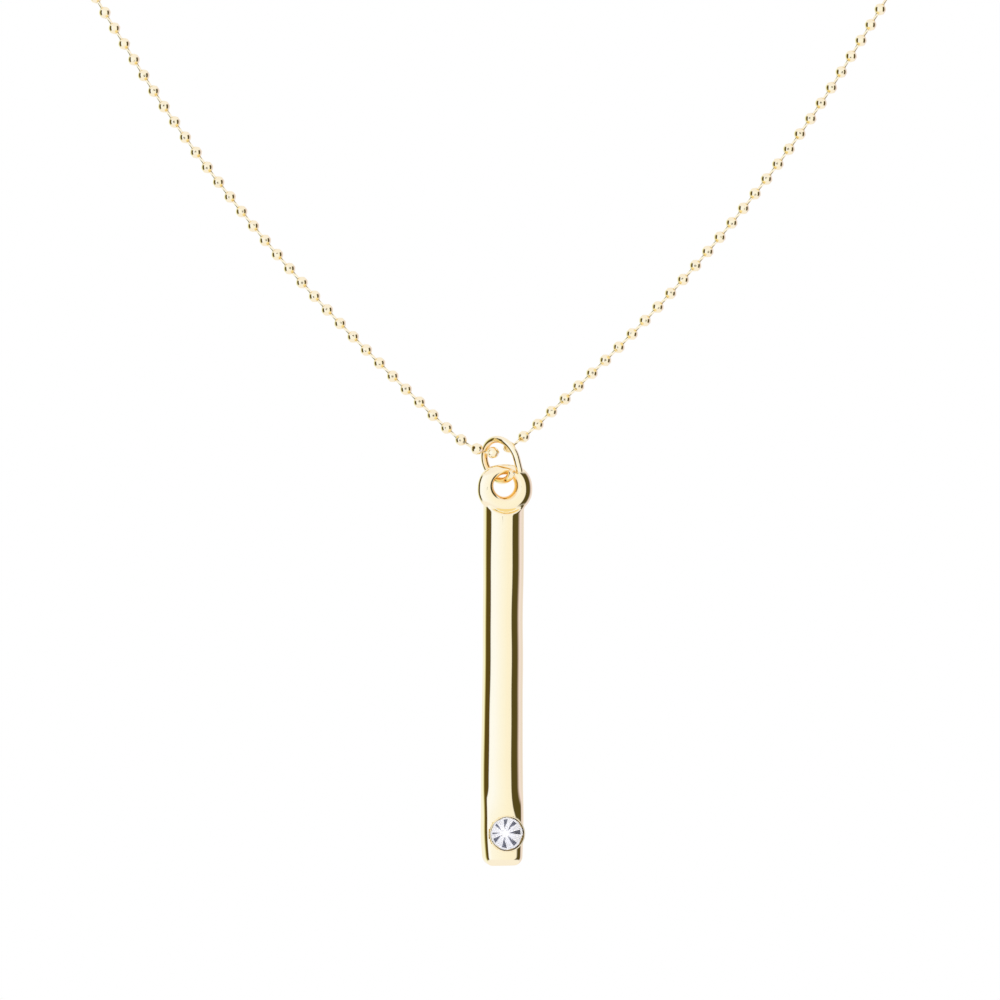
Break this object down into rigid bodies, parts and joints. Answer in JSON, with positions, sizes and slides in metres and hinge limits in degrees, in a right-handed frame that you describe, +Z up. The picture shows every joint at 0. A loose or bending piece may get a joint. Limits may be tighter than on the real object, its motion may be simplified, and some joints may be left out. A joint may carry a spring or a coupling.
{
  "type": "bar pendant necklace",
  "caption": "Slim polished bar pendant with a cast loop and a round crystal near its foot, hung by a sprung jump ring on a diamond-cut ball chain necklace.",
  "frame": {"origin": "centre of the clasp, where the chain lies on the nape", "axes": "+Z up, -Y to the wearer's front, +X to the right of someone who faces the wearer"},
  "size_m": [0.1067, 0.1109, 0.1358],
  "materials": {
    "bar_gold": "high polish, gold plated",
    "crystal": "cut and foiled crystal",
    "ring_gold": "polished wire, gold plated",
    "chain_gold": "diamond-cut beads, gold plated"
  },
  "bodies": {
    "chain": {"chain_left": "chain_gold", "chain_right": "chain_gold", "chain_wire": "chain_gold", "clasp": "chain_gold"},
    "ring": {"jump_ring": "ring_gold"},
    "pendant": {"bar": "bar_gold", "stone": "crystal"}
  },
  "joints": [
    {"name": "ring_swing", "type": "hinge", "parent": "chain", "child": "ring", "pos_m": [0.00086, -0.10759, -0.09021], "axis": [0.9021, 0.4315, 0], "range_deg": [-35, 35]},
    {"name": "bar_swing", "type": "hinge", "parent": "ring", "child": "pendant", "pos_m": [0.00118, -0.10775, -0.09404], "axis": [-0.2249, 0.9743, 0.014], "range_deg": [-80, 80]}
  ]
}
